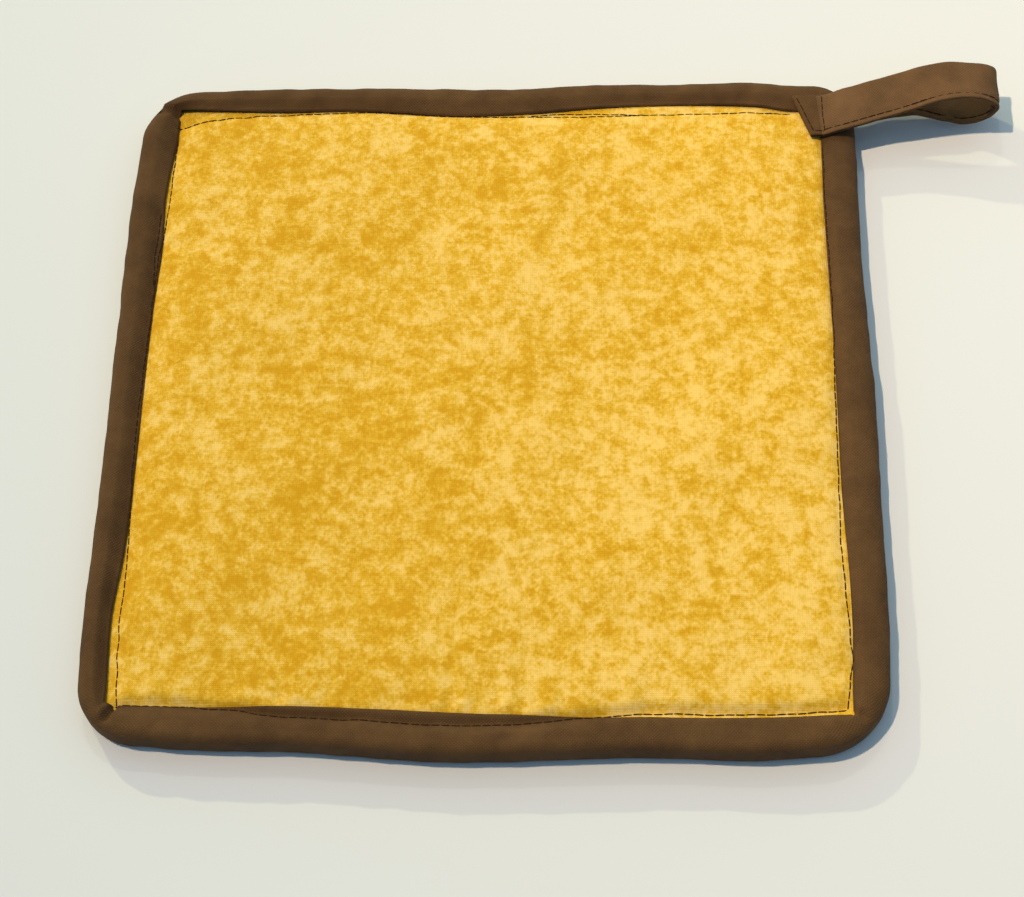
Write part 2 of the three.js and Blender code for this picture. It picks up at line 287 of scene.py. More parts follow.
def makePad():
    look = padLook
    meanHem = 92  # mm from the middle
    reach = 1 + look["tuck"] / meanHem
    line = np.linspace(-reach, reach, look["cells"] + 1)
    v, u = np.meshgrid(line, line, indexing="ij")
    x, y = u * meanHem, v * meanHem
    for _ in range(4):  # settles the grid's edge on the hem's own line
        acrossX, acrossY = hemReach(x, y)
        x, y = u * acrossX, v * acrossY
    full = fullness(x, y)
    seamTop = bindingLook["rollTop"] - bindingLook["thickness"] - nearestSide(x, y, "hemDrop")
    seamTop = seamTop - sewnCorner["drop"] * pressedDown(x, y)
    uneven = sum(high * softNoise(x, y, long, seed) for high, long, seed in look["waves"])
    top = seamTop + (look["crown"] - seamTop + uneven) * full - sewnDown(x, y) + puckers(x, y)
    top = top - look["tuckDrop"] * easeIn(beyondHem(x, y), *look["tuckFade"])
    lift = look["footLift"] * (1 - np.minimum(1, look["footRun"] * full))
    under = lift + look["footSink"] * sewnDown(x, y) + np.abs(puckers(x, -y)) * (1 - full)
    count = len(line)
    layer = count * count  # the points of the top; those of the underside follow
    points = np.concatenate([
        np.stack([x, y, top], -1).reshape(-1, 3),
        np.stack([x, y, under], -1).reshape(-1, 3),
    ])
    faces = gridFaces(count, count) + gridFaces(count, count, start=layer, flip=True)
    rim = (
        [(0, c) for c in range(count - 1)]
        + [(r, count - 1) for r in range(count - 1)]
        + [(count - 1, c) for c in range(count - 1, 0, -1)]
        + [(r, 0) for r in range(count - 1, 0, -1)]
    )
    rim = [r * count + c for r, c in rim]
    for here, there in zip(rim, rim[1:] + rim[:1]):
        faces.append([there, here, here + layer, there + layer])
    return meshObject("padCushion", points, faces)


def walkStart(sideSteps, cornerSteps):
    # the walk starts and ends in the first corner, where the loop's end hides the tape's join
    return sideSteps + cornerSteps // 2


def walkAround(sideSteps, cornerSteps):
    # paired points counter-clockwise round the pad, on the hem and on the outer fold, with the
    # binding's shape there. The fold's corners are round, the hem's are mitred.
    found = {"hem": [], "fold": [], "hemDrop": [], "roundDepth": [], "roundHeight": []}

    def value(turn, column, along):
        name = order[turn % 4]
        sense = 1 if name in ("right", "bottom") else -1  # the tables run in +X or +Y
        return alongHem(name, sense * along, column)

    def onSide(turn, out, along):
        angle = turn * math.pi / 2
        x = out * math.cos(angle) - along * math.sin(angle)
        y = out * math.sin(angle) + along * math.cos(angle)
        return np.stack([x, y], -1)

    # where each side's fold meets the round corners after it and before it
    starts, stops = [0] * 4, [0] * 4
    for turn, radius in enumerate(outerRadius):
        stop, start = cornerPlace - radius, radius - cornerPlace
        for _ in range(6):
            stop = value(turn + 1, "fold", start) - radius
            start = radius - value(turn, "fold", stop)
        stops[turn], starts[(turn + 1) % 4] = stop, start

    for turn, name in enumerate(order):
        radius, start, stop = outerRadius[turn], starts[turn], stops[turn]
        foldEnd, hemEnd = value(turn, "fold", stop), value(turn, "hem", cornerPlace)
        hemCorner = value(turn + 1, "hem", -cornerPlace)
        along = start + (stop - start) * np.arange(sideSteps) / sideSteps
        share = np.arange(cornerSteps) / cornerSteps
        angle = share * math.pi / 2
        beforeMitre = stop + (hemCorner - stop) * 2 * share[share < 0.5]
        afterMitre = -hemEnd + (starts[(turn + 1) % 4] + hemEnd) * (2 * share[share >= 0.5] - 1)
        found["fold"] += [
            onSide(turn, value(turn, "fold", along), along),
            onSide(turn, foldEnd + radius * (np.cos(angle) - 1), stop + radius * np.sin(angle)),
        ]
        found["hem"] += [
            onSide(turn, value(turn, "hem", along), along),
            onSide(turn, value(turn, "hem", beforeMitre), beforeMitre),
            onSide(turn + 1, value(turn + 1, "hem", afterMitre), afterMitre),
        ]
        turning = easeIn(np.concatenate([along * 0, share]), 0, 1)
        for key in ("hemDrop", "roundDepth", "roundHeight"):
            following = sides[order[(turn + 1) % 4]][key]
            found[key].append(sides[name][key] + (following - sides[name][key]) * turning)
    shift = -walkStart(sideSteps, cornerSteps)
    return {key: np.roll(np.concatenate(parts), shift, axis=0) for key, parts in found.items()}


bindingLook = {
    "rollTop": 8.8,  # mm, the binding's highest line
    "footDepth": 2.5,  # mm in that the lower round edge reaches
    "footHeight": 2.0,  # and up
    "thickness": 0.72,  # mm of folded tape
    "roundShare": 0.75,  # of the shown width, the most that the round part takes
    "hemRun": (-0.1, 0.8),  # shares of the flat where the tape leaves its hem and is at its top
    "wrinkle": 0.09,  # mm high
    "wrinkles": [(7, 11), (16, 12)],  # mm long and seed, of the fine and the broad ones
    "drawnUp": (0.6, 0.4),  # the run under the pad: its share of the seams' depth, most in mm
    "wave": (0.12, 45, 7),  # mm high, mm long and seed, of the slow rise and fall along the edge
    "faceSteps": (16, 10, 4),  # points over the flat, the round and the wall, on the tape's face
    "backSteps": (6, 4, 1),  # and on its back
    "sideSteps": 150,
    "cornerSteps": 30,
}


def tapeSection(walk, width, top, depth, counts):
    # the folded tape's line at each station, at a depth below its face: out over the top, down
    # the outer fold and back below. Gives the reach from the hem and the height of each point,
    # and how far its face looks up and out.
    half = bindingLook["thickness"] / 2
    flatCount, roundCount, wallCount = counts
    roundStart = 86  # degrees, just past the flat's last point
    roundDepth = np.minimum(walk["roundDepth"][:, None], bindingLook["roundShare"] * width)
    roundHeight = walk["roundHeight"][:, None]
    footDepth, footHeight = bindingLook["footDepth"], bindingLook["footHeight"]
    straight = width - roundDepth
    share = np.linspace(0, 1, flatCount)[None, :]
    angle = np.radians(np.linspace(roundStart, 0, roundCount))[None, :]
    wall = np.linspace(0, 1, wallCount + 2)[None, 1:-1]
    reach = np.concatenate([
        half + share * (straight - half),
        straight + (roundDepth - depth) * np.cos(angle),
        width - depth + 0 * wall,
        width - footDepth + (footDepth - depth) * np.cos(angle[:, ::-1]),
        half + share[:, ::-1] * (width - footDepth - half),
    ], 1)
    wallTop = top - roundHeight
    rise = np.concatenate([
        top - depth - walk["hemDrop"][:, None] * (1 - easeIn(share, *bindingLook["hemRun"])),
        wallTop + (roundHeight - depth) * np.sin(angle),
        wallTop + (footHeight - wallTop) * wall,
        footHeight - (footHeight - depth) * np.sin(angle[:, ::-1]) + 0 * top,
        depth + 0 * share * top,
    ], 1)
    flat, level = np.ones(flatCount), np.zeros(flatCount)
    up = np.concatenate([flat, np.sin(angle[0]), wall[0] * 0, angle[0] * 0, level])
    out = np.concatenate([level, np.cos(angle[0]), wall[0] * 0 + 1, np.cos(angle[0][::-1]), level])
    return reach, rise, up, out


def makeBinding():
    look = bindingLook
    walk = walkAround(look["sideSteps"], look["cornerSteps"])
    hem, fold = walk["hem"], walk["fold"]
    outward = fold - hem
    width = np.linalg.norm(outward, axis=1, keepdims=True)
    outward = outward / width
    middleLine = (hem + fold) / 2
    steps = np.linalg.norm(np.diff(middleLine, axis=0, append=middleLine[:1]), axis=1)
    length = np.concatenate([[0], np.cumsum(steps)[:-1]])[:, None]
    top = look["rollTop"] - sewnCorner["drop"] * pressedDown(hem[:, :1], hem[:, 1:])
    waveHigh, waveLong, waveSeed = look["wave"]
    top = top + waveHigh * softNoise(middleLine[:, :1], middleLine[:, 1:], waveLong, waveSeed)
    half = look["thickness"] / 2

    outReach, outRise, outUp, outOut = tapeSection(walk, width, top, 0, look["faceSteps"])
    inReach, inRise, inUp, _ = tapeSection(walk, width, top, look["thickness"], look["backSteps"])
    edgeTurn = np.radians([-150, 180, 150])[None, :]
    edgeReach = half + half * np.cos(edgeTurn) + 0 * width
    hemTop = top - walk["hemDrop"][:, None] - half
    footEdge = half + half * np.sin(edgeTurn) + 0 * width
    topEdge = hemTop + half * np.sin(edgeTurn)
    reach = np.concatenate([outReach, edgeReach, inReach[:, ::-1], edgeReach], 1)
    rise = np.concatenate([outRise, footEdge, inRise[:, ::-1], topEdge], 1)
    up = np.concatenate([outUp, [0, 0, 0], inUp[::-1], [1, 1, 1]])[None, :]
    out = np.concatenate([outOut, np.zeros(rise.shape[1] - len(outOut))])[None, :]

    x = hem[:, :1] + outward[:, :1] * reach
    y = hem[:, 1:] + outward[:, 1:] * reach
    fine, broad = look["wrinkles"]
    drawn = softNoise(length + 0.7 * reach, reach * 0.35, *fine) + softNoise(length, reach, *broad)
    wrinkle = look["wrinkle"] * drawn * np.clip(reach / 2, 0.3, 1)
    rise = rise + up * wrinkle
    facesUp = up > 0.45  # the flat and the upper part of the round
    rise = rise + np.where(facesUp, cornerFolds(walk, reach) - sewnDown(x, y), 0)
    column = np.arange(rise.shape[1])
    below = (column < len(outUp)) & (column >= len(outUp) - look["faceSteps"][0])
    drawnShare, drawnMost = look["drawnUp"]
    drawnUp = np.minimum(drawnShare * sewnDown(x, y), drawnMost)
    rise = rise + np.where(below[None, :], drawnUp, 0)
    swell = out * (0.5 * wrinkle - 0.05)
    x = x + outward[:, :1] * swell
    y = y + outward[:, 1:] * swell
    points = np.stack([x, y, np.maximum(rise, 0)], -1)
    stations, count = reach.shape
    stride = np.hypot(np.diff(reach, axis=1), np.diff(rise, axis=1))
    across = np.concatenate([np.zeros((stations, 1)), np.cumsum(stride, axis=1)], 1)
    uvs = np.stack([length + 0 * across, across], -1).reshape(-1, 2)
    faces = gridFaces(stations, count, closeRows=True, closeColumns=True, flip=True)
    return meshObject("edgeBinding", points.reshape(-1, 3), faces, uvs)


# Where the tape is folded round a corner, the run before it lies over the run after it. corner:
# its place in the order, round: how far round the corner the fold's edge lies, step: the height of
# the upper run's edge, gully: the depth of the gap beside it, length: how far out from the hem it
# goes, in mm.
folds = [
    {"corner": 1, "round": 0.55, "step": 1.35, "gully": 1.3, "length": 8.0},
    {"corner": 2, "round": 0.62, "step": 0.70, "gully": 2.2, "length": 5.0},
    {"corner": 3, "round": 0.50, "step": 0.30, "gully": 1.0, "length": 3.5},
]

foldLook = {
    "runOut": 22,  # stations of the walk over which the upper run comes down again
    "edge": 1.3,  # stations that its edge takes to rise
    "gullyPlace": 1.0,  # stations from that edge to the gap's deepest line
    "gullyWide": 1.3,  # stations, half the gap's width
    "fade": 1.5,  # mm over which a fold dies away, on each side of its length
}


def cornerFolds(walk, reach):
    # how much higher the tape lies for them, at each point of its section
    height = np.zeros(reach.shape)
    stations = len(walk["hem"])
    sideSteps, cornerSteps = bindingLook["sideSteps"], bindingLook["cornerSteps"]
    for fold in folds:
        at = fold["corner"] * (sideSteps + cornerSteps) + sideSteps + fold["round"] * cornerSteps
        at -= walkStart(sideSteps, cornerSteps)
        offset = (np.arange(stations) - at + stations / 2) % stations - stations / 2
        offset = -offset[:, None]  # in stations, positive on the upper run
        upper = np.exp(-np.clip(offset, 0, None) / foldLook["runOut"])
        upper = upper * easeIn(offset, 0, foldLook["edge"])
        gully = np.exp(-(((offset + foldLook["gullyPlace"]) / foldLook["gullyWide"]) ** 2))
        fade = easeIn(-reach, -fold["length"] - foldLook["fade"], -fold["length"] + foldLook["fade"])
        height += (fold["step"] * upper - fold["gully"] * gully) * fade
    return height


# The loop's tape from its sewn end, out over the top, round the bend and back to the corner, where
# it is sewn in under the binding. near: the edge towards the pad's middle, far: the other edge,
# both at the middle of the tape's thickness.
loopPath = {
    "nearX": [88.9, 92.5, 96.9, 102.0, 108.2, 114.2, 120.7, 128.2, 134.9, 139.4, 140.9, 139.5,
              136.5, 132.2, 127.8, 124.0, 119.4, 114.2, 108.6, 104.6, 99.5],
    "nearY": [82.4, 82.3, 82.5, 83.8, 85.5, 86.6, 87.8, 88.8, 89.0, 89.0, 89.0, 89.0, 89.0, 89.2,
              89.5, 90.0, 90.8, 90.2, 89.2, 88.4, 88.2],
    "nearZ": [7.4, 8.2, 9.9, 10.5, 11.1, 12.3, 14.4, 15.8, 15.5, 13.5, 10.5, 7.6, 5.3, 4.1, 4.7,
              5.5, 6.0, 6.2, 6.0, 5.8, 5.4],
    "farX": [83.9, 91.6, 97.1, 102.1, 108.2, 114.2, 120.7, 128.2, 135.6, 140.3, 141.2, 139.5,
             136.5, 132.2, 127.8, 124.0, 119.4, 114.2, 108.6, 102.6, 95.8],
    "farY": [95.7, 95.5, 96.5, 97.3, 98.4, 99.4, 100.6, 101.5, 101.7, 101.7, 101.7, 101.7, 101.7,
             101.8, 102.0, 102.5, 103.3, 103.6, 102.8, 100.9, 98.4],
    "farZ": [8.5, 9.0, 10.1, 11.5, 12.8, 14.2, 15.6, 16.2, 15.0, 13.5, 10.5, 7.5, 5.2, 4.0, 4.9,
             5.9, 6.6, 6.8, 6.4, 6.0, 5.8],
}

loopLook = {
    "halfThickness": 0.55,  # mm, two folded layers
    "seamIn": 1.6,  # mm from the open edge to its stitching
    "seamSink": 0.16,  # mm that the stitching pinches each face
    "lip": 0.5,  # mm that the open edge's two layers part
    "drape": (0.10, 9, 21),  # mm high, mm long and seed, of the tape's small waves
    "sewnDip": 0.22,  # mm that the stitching across the end dents it
    "rowLong": 6,  # mm from one row of the path to the next, about
    "stepsPerRow": 9,
    "acrossSteps": 16,
}


def loopFrames():
    # points along both edges, and the way out of the loop's outer face
    rows = np.arange(len(loopPath["nearX"]))
    place = np.linspace(0, rows[-1], rows[-1] * loopLook["stepsPerRow"] + 1)
    edge = {key: curveThrough(rows, values, place) for key, values in loopPath.items()}
    near = np.stack([edge["nearX"], edge["nearY"], edge["nearZ"]], -1)
    far = np.stack([edge["farX"], edge["farY"], edge["farZ"]], -1)
    ahead = np.gradient(near + far, axis=0)
    outward = np.cross(ahead, far - near)
    outward /= np.linalg.norm(outward, axis=1, keepdims=True)
    return place, near, far, outward


def makeLoop():
    look = loopLook
    place, near, far, outward = loopFrames()
    width = np.linalg.norm(far - near, axis=1).mean()
    half = look["halfThickness"]

    # the section: across the tape and through it, out over its face, round its folded edge, back
    # over the other face and round the two lips of its open edge
    inner = np.linspace(look["seamIn"], width - 0.8, look["acrossSteps"])
    over = np.concatenate([[0.25, 0.6, 1.1], inner, [width - 0.35]])
    face = half - look["seamSink"] * np.exp(-(((over - look["seamIn"]) / 0.5) ** 2))
    face[-1] *= 0.86
    foldedEdge = [(width - 0.08, 0.5 * half), (width, 0), (width - 0.08, -0.5 * half)]
    lowerLip = [(0.04, -0.72 * half), (0.05, -0.28 * half), (0.05 + look["lip"], 0)]
    upperLip = [(0.05, 0.28 * half), (0.04, 0.72 * half)]
    back = list(zip(over[::-1], -face[::-1]))
    section = np.array(list(zip(over, face)) + foldedEdge + back + lowerLip + upperLip)
    along, through = section[None, :, 0], section[None, :, 1]

    share = along[..., None] / width
    middle = near[:, None, :] * (1 - share) + far[:, None, :] * share
    ends = np.minimum(place - place[0], place[-1] - place)
    swell = 0.45 + 0.55 * easeIn(ends, 0, 0.12)  # both ends are pressed flat
    turnedUnder = 1 + 0.35 * easeIn(-place, -1.0, -0.7)  # the sewn end's extra layers
    dip = look["sewnDip"] * np.exp(-(((place - 1.0) / 0.1) ** 2))
    waveHigh, waveLong, waveSeed = look["drape"]
    run = place[:, None] * look["rowLong"]
    drape = waveHigh * softNoise(run, along, waveLong, waveSeed)
    thick = through * (swell * turnedUnder)[:, None] + drape - dip[:, None]
    points = middle + outward[:, None, :] * thick[..., None]
    stations, count = points.shape[:2]
    steps = np.linalg.norm(np.diff((near + far) / 2, axis=0), axis=1)
    length = np.concatenate([[0], np.cumsum(steps)])
    backShift = 3 * (through < 0)  # mm, so that the two faces' weaves don't match
    uvs = np.stack(np.broadcast_arrays(length[:, None], along + backShift), -1)
    faces = gridFaces(stations, count, closeColumns=True)
    faces.append(list(range(count)))
    faces.append(list(range(stations * count - 1, (stations - 1) * count - 1, -1)))
    made = meshObject("tapeLoop", points.reshape(-1, 3), faces, uvs.reshape(-1, 2))
    # the loop's tape is the lighter copy, with painted sheen
    made.data.materials.append(biasTapeCloth(sheenLitTape))
    return made, count


def keepSewnEndWithoutSheen(made, count, cloth):
    # the loop's end that is sewn down keeps the binding's tape, without the painted sheen
    made.data.materials.append(cloth)
    for face in made.data.polygons:
        station = min(face.vertices) // count
        face.material_index = 1 if station < loopLook["stepsPerRow"] - 1 else 0


def surfaceOf(pieces):
    # one tree for finding where a needle going straight down meets the cloth
    points, faces = [], []
    for piece in pieces:
        start = len(points)
        points += [tuple(vertex.co) for vertex in piece.data.vertices]
        faces += [[start + index for index in face.vertices] for face in piece.data.polygons]
    return BVHTree.FromPolygons(points, faces)


def threadStitches(path, normals):
    # path: close points along a line of sewing, on the cloth. Each stitch is a short tube that
    # dives into the cloth at both ends.
    look = seamLook
    path, normals = np.array(path), np.array(normals)
    steps = np.linalg.norm(np.diff(path, axis=0), axis=1)
    length = np.concatenate([[0], np.cumsum(steps)])
    points, faces = [], []
    count = round(length[-1] / look["stitch"])
    pitch = length[-1] / count
    for number in range(count):
        share = np.linspace(0, 1, look["steps"])
        at = (number + share) * pitch
        middle = np.stack([np.interp(at, length, path[:, k]) for k in range(3)], -1)
        up = np.stack([np.interp(at, length, normals[:, k]) for k in range(3)], -1)
        arch = 1 - np.abs(2 * share - 1) ** 3
        middle = middle + up * (look["thread"] * (1.1 * arch - 0.7))[:, None]
        ahead = np.gradient(middle, axis=0)
        ahead /= np.linalg.norm(ahead, axis=1, keepdims=True)
        beside = np.cross(ahead, up)
        beside /= np.linalg.norm(beside, axis=1, keepdims=True)
        above = np.cross(beside, ahead)
        angle = np.linspace(0, 2 * math.pi, look["sides"], endpoint=False)[None, :, None]
        size = (look["thread"] * (0.35 + 0.65 * np.clip(arch * 2, 0, 1)))[:, None, None]
        turned = np.cos(angle) * beside[:, None] + np.sin(angle) * above[:, None]
        ring = middle[:, None] + size * turned
        start = len(points) * look["steps"] * look["sides"]
        faces += gridFaces(look["steps"], look["sides"], start=start, closeColumns=True, flip=True)
        first, last = start, start + (look["steps"] - 1) * look["sides"]
        faces.append(list(range(first, first + look["sides"])))
        faces.append(list(range(last + look["sides"] - 1, last - 1, -1)))
        points.append(ring.reshape(-1, 3))
    return np.concatenate(points), faces


def joinedThreads(name, runs):
    # the stitches of several lines of sewing, as one object
    points, faces, start = [], [], 0
    for path, normals in runs:
        runPoints, runFaces = threadStitches(path, normals)
        faces += [[index + start for index in face] for face in runFaces]
        points.append(runPoints)
        start += len(runPoints)
    return meshObject(name, np.concatenate(points), faces)


def laidOnCloth(cloth, xs, ys, fromAbove=True):
    # a line's places in X and Y, dropped on the cloth from above or raised to it from below
    start, down = (30, -1) if fromAbove else (-10, 1)  # mm high
    path = []
    for x, y in zip(xs, ys):
        hit = cloth.ray_cast(Vector((x, y, start)) * mm, Vector((0, 0, down)))
        path.append(np.array(hit[0]) / mm)
    return path, [(0, 0, -down)] * len(path)


def edgeRuns(cloth, fromAbove):
    # the sides' stitching, on the upper or the lower face
    runs = []
    wanderWide, wanderLong, wanderSeed = seamLook["wander"]
    for name, side in sides.items():
        for seam in side["seams"]:
            along = np.arange(seam["at"][0], seam["at"][-1], seamLook["ray"])
            out = curveThrough(seam["at"], seam["out"], along)
            out = out + wanderWide * softNoise(along, along * 0, wanderLong, wanderSeed)
            x, y = {"right": (out, along), "top": (along, out),
                    "left": (-out, along), "bottom": (along, -out)}[name]
            runs.append(laidOnCloth(cloth, x, y, fromAbove))
    return runs


def loopRuns():
    # stitching along the loop's open edge, on both its faces
    place, near, far, outward = loopFrames()
    width = np.linalg.norm(far - near, axis=1, keepdims=True)
    line = near + (far - near) / width * loopLook["seamIn"]
    keep = place > 1.0  # beyond the sewn end
    lift = loopLook["halfThickness"] - loopLook["seamSink"]
    return [
        (line[keep] + outward[keep] * lift, outward[keep]),
        (line[keep] - outward[keep] * lift, -outward[keep]),
    ]


# The line that holds the loop's end to the corner, from above: X and Y of its turning points.
tackLine = [(92.3, 95.0), (92.4, 88.8), (92.8, 83.6), (89.7, 83.7), (87.5, 89.2), (85.2, 94.7)]


def tackRuns(cloth):
    corners = np.array(tackLine)
    steps = np.linalg.norm(np.diff(corners, axis=0), axis=1)
    length = np.concatenate([[0], np.cumsum(steps)])
    at = np.arange(0, length[-1], seamLook["ray"])
    x = np.interp(at, length, corners[:, 0])
    y = np.interp(at, length, corners[:, 1])
    return [laidOnCloth(cloth, x, y)]


def linear(code, alpha=1.0):
    # an sRGB hex colour as linear light
    parts = [int(code[k:k + 2], 16) / 255 for k in (1, 3, 5)]
    light = [p / 12.92 if p <= 0.04045 else ((p + 0.055) / 1.055) ** 2.4 for p in parts]
    return (*light, alpha)


def newMaterial(name):
    # an empty material and its node tree
    material = bpy.data.materials.new(name)
    material.use_nodes = True
    tree = material.node_tree
    tree.nodes.clear()
    return material, tree


def addNode(tree, kind, settings=None, inputs=None):
    # one node, with its settings, and its inputs as values or as sockets to link from
    node = tree.nodes.new(kind)
    for key, value in (settings or {}).items():
        setattr(node, key, value)
    for key, value in (inputs or {}).items():
        if isinstance(value, bpy.types.NodeSocket):
            tree.links.new(value, node.inputs[key])
        else:
            node.inputs[key].default_value = value
    return node


printedCotton = {
    "deep": "#D79D14",
    "middle": "#E6B434",
    "light": "#F7CC6A",
    "cloudSize": 32,  # mm across the largest clouds of light and deep
    "patchSize": 8.5,  # mm across a sponged patch
    "dabSize": 3.8,  # mm across the dabs that a patch is made of
    "crumbSize": 1.7,  # mm across the crumbs at the dabs' edges
    "grainSize": 0.8,  # mm across the fleck inside all of them
    "shares": (0.24, 0.66, 0.74, 0.55, 0.38),  # of cloud, patch, dab, crumb and grain
    "spread": 0.27,  # how far apart the deep and the light ends of the print lie
    "drift": 0.5,  # how much lighter the print grows to the right, each metre
    "slubSize": (0.9, 7.0),  # mm across and along the cloth's thicker yarns
    "threadPitch": 0.55,  # mm; the real cloth has 0.4, drawn coarser so that it shows
    "weaveShade": 0.14,  # how much lighter the top of a thread looks than the gap beside it
    "weaveHeight": 0.12,  # mm
}


def printedCottonCloth():
    # plain-weave quilting cotton, printed with a sponged mottle: matt, with soft light patches
    # whose edges break up into crumbs, a fine square weave and a few thicker yarns
    look = printedCotton
    material, tree = newMaterial("printedCottonWoven")
    place = addNode(tree, "ShaderNodeTexCoord").outputs["Object"]
    layers = [
        (look["cloudSize"], 1.0, 0.5, 0.0),
        (look["patchSize"], 2.0, 0.6, 0.3),
        (look["dabSize"], 2.0, 0.6, 0.25),
        (look["crumbSize"], 2.0, 0.65, 0.0),
        (look["grainSize"], 1.0, 0.5, 0.0),
    ]
    across = addNode(tree, "ShaderNodeSeparateXYZ", {}, {0: place}).outputs["X"]
    total = addNode(tree, "ShaderNodeMath", {"operation": "MULTIPLY"}, {
        0: across, 1: look["drift"]}).outputs[0]
    for (size, detail, roughness, distortion), share in zip(layers, look["shares"]):
        noise = addNode(tree, "ShaderNodeTexNoise", {}, {
            "Vector": place, "Scale": 1000 / size, "Detail": detail, "Roughness": roughness,
            "Distortion": distortion})
        total = addNode(tree, "ShaderNodeMath", {"operation": "MULTIPLY_ADD"}, {
            0: noise.outputs["Fac"], 1: share, 2: total}).outputs[0]
    middle = sum(look["shares"]) / 2
    printed = addNode(tree, "ShaderNodeMapRange", {"interpolation_type": "SMOOTHSTEP"}, {
        "Value": total, "From Min": middle - look["spread"], "From Max": middle + look["spread"]})
    ramp = addNode(tree, "ShaderNodeValToRGB", {}, {"Fac": printed.outputs[0]})
    ramp.color_ramp.elements[0].color = linear(look["deep"])
    ramp.color_ramp.elements[1].color = linear(look["light"])
    ramp.color_ramp.elements.new(0.45).color = linear(look["middle"])
    waves = [
        addNode(tree, "ShaderNodeTexWave", {"wave_type": "BANDS", "bands_direction": way}, {
            "Vector": place, "Scale": 100 * math.pi / look["threadPitch"], "Distortion": 1.2,
            "Detail": 1.0, "Detail Scale": 0.3})
        for way in ("X", "Y")
    ]
    weave = addNode(tree, "ShaderNodeMath", {"operation": "MULTIPLY"}, {
        0: waves[0].outputs["Fac"], 1: waves[1].outputs["Fac"]})
    slubPlace = addNode(tree, "ShaderNodeVectorMath", {"operation": "MULTIPLY"}, {
        0: place, 1: (1000 / look["slubSize"][0], 1000 / look["slubSize"][1], 0)})
    slub = addNode(tree, "ShaderNodeTexNoise", {}, {
        "Vector": slubPlace.outputs[0], "Scale": 1.0, "Detail": 1.0})
    grain = addNode(tree, "ShaderNodeMath", {"operation": "MULTIPLY_ADD"}, {
        0: slub.outputs["Fac"], 1: 0.9, 2: weave.outputs[0]})
    shade = addNode(tree, "ShaderNodeMath", {"operation": "MULTIPLY_ADD"}, {
        0: grain.outputs[0], 1: look["weaveShade"], 2: 0.88})
    tinted = addNode(tree, "ShaderNodeMix", {"data_type": "RGBA", "blend_type": "MULTIPLY"}, {
        0: 1.0, 6: ramp.outputs["Color"], 7: shade.outputs[0]})
    bump = addNode(tree, "ShaderNodeBump", {}, {
        "Height": grain.outputs[0], "Strength": 0.5, "Distance": look["weaveHeight"] * mm})
    surface = addNode(tree, "ShaderNodeBsdfPrincipled", {}, {
        "Base Color": tinted.outputs[2], "Roughness": 0.9, "Sheen Weight": 0.06,
        "Sheen Roughness": 0.5, "Specular IOR Level": 0.15, "Normal": bump.outputs[0]})
    addNode(tree, "ShaderNodeOutputMaterial", {}, {"Surface": surface.outputs[0]})
    return material


biasTape = {
    "name": "biasCutCottonTape",
    "dark": "#4E361E",
    "light": "#6D4F2E",
    "threadPitch": 0.6,  # mm; the real tape has 0.35, drawn coarser so that it shows
    "weaveShade": 0.28,  # how far the weave goes from dark to light
    "weaveHeight": 0.18,  # mm
    "clothSize": 14,  # mm across uneven dyeing and wear
}
# painted sheen: the loop's raised tape is drawn lighter than the binding's, for the light it catches
sheenLitTape = {
    **biasTape,
    "name": "sheenLitBiasCutCottonTape",
    "dark": "#5B4128",
    "light": "#7D5C3B",
}


def biasTapeCloth(look):
    # plain-weave cotton tape cut on the bias and pressed: dark brown, with its threads running
    # at 45 degrees to the edge, a little lighter where it is rubbed
    material, tree = newMaterial(look["name"])
    place = addNode(tree, "ShaderNodeUVMap", {"uv_map": "tape"}).outputs["UV"]
    world = addNode(tree, "ShaderNodeTexCoord").outputs["Object"]
    waves = [
        addNode(tree, "ShaderNodeTexWave", {"wave_type": "BANDS", "bands_direction": "X"}, {
            "Vector": addNode(tree, "ShaderNodeVectorRotate", {"rotation_type": "Z_AXIS"}, {
                "Vector": place, "Angle": math.radians(angle)}).outputs[0],
            "Scale": 0.1 * math.pi / look["threadPitch"], "Distortion": 2.5, "Detail": 1.0,
            "Detail Scale": 0.3})
        for angle in (45, -45)
    ]
    weave = addNode(tree, "ShaderNodeMath", {"operation": "MULTIPLY"}, {
        0: waves[0].outputs["Fac"], 1: waves[1].outputs["Fac"]})
    dye = addNode(tree, "ShaderNodeTexNoise", {}, {
        "Vector": world, "Scale": 1000 / look["clothSize"], "Detail": 8.0, "Roughness": 0.75})
    mixed = addNode(tree, "ShaderNodeMath", {"operation": "MULTIPLY_ADD", "use_clamp": True}, {
        0: weave.outputs[0], 1: look["weaveShade"], 2: dye.outputs["Fac"]})
    ramp = addNode(tree, "ShaderNodeValToRGB", {}, {"Fac": mixed.outputs[0]})
    ramp.color_ramp.elements[0].position = 0.35
    ramp.color_ramp.elements[0].color = linear(look["dark"])
    ramp.color_ramp.elements[1].position = 0.85
    ramp.color_ramp.elements[1].color = linear(look["light"])
    bump = addNode(tree, "ShaderNodeBump", {}, {
        "Height": weave.outputs[0], "Strength": 0.7, "Distance": look["weaveHeight"] * mm})
    surface = addNode(tree, "ShaderNodeBsdfPrincipled", {}, {
        "Base Color": ramp.outputs["Color"], "Roughness": 0.85, "Sheen Weight": 0.02,
        "Sheen Roughness": 0.45, "Specular IOR Level": 0.12, "Normal": bump.outputs[0]})
    addNode(tree, "ShaderNodeOutputMaterial", {}, {"Surface": surface.outputs[0]})
    return material


spunThread = {
    "colour": "#35200F",
    "twistPitch": 0.5,  # mm
    "twistHeight": 0.08,  # mm
}


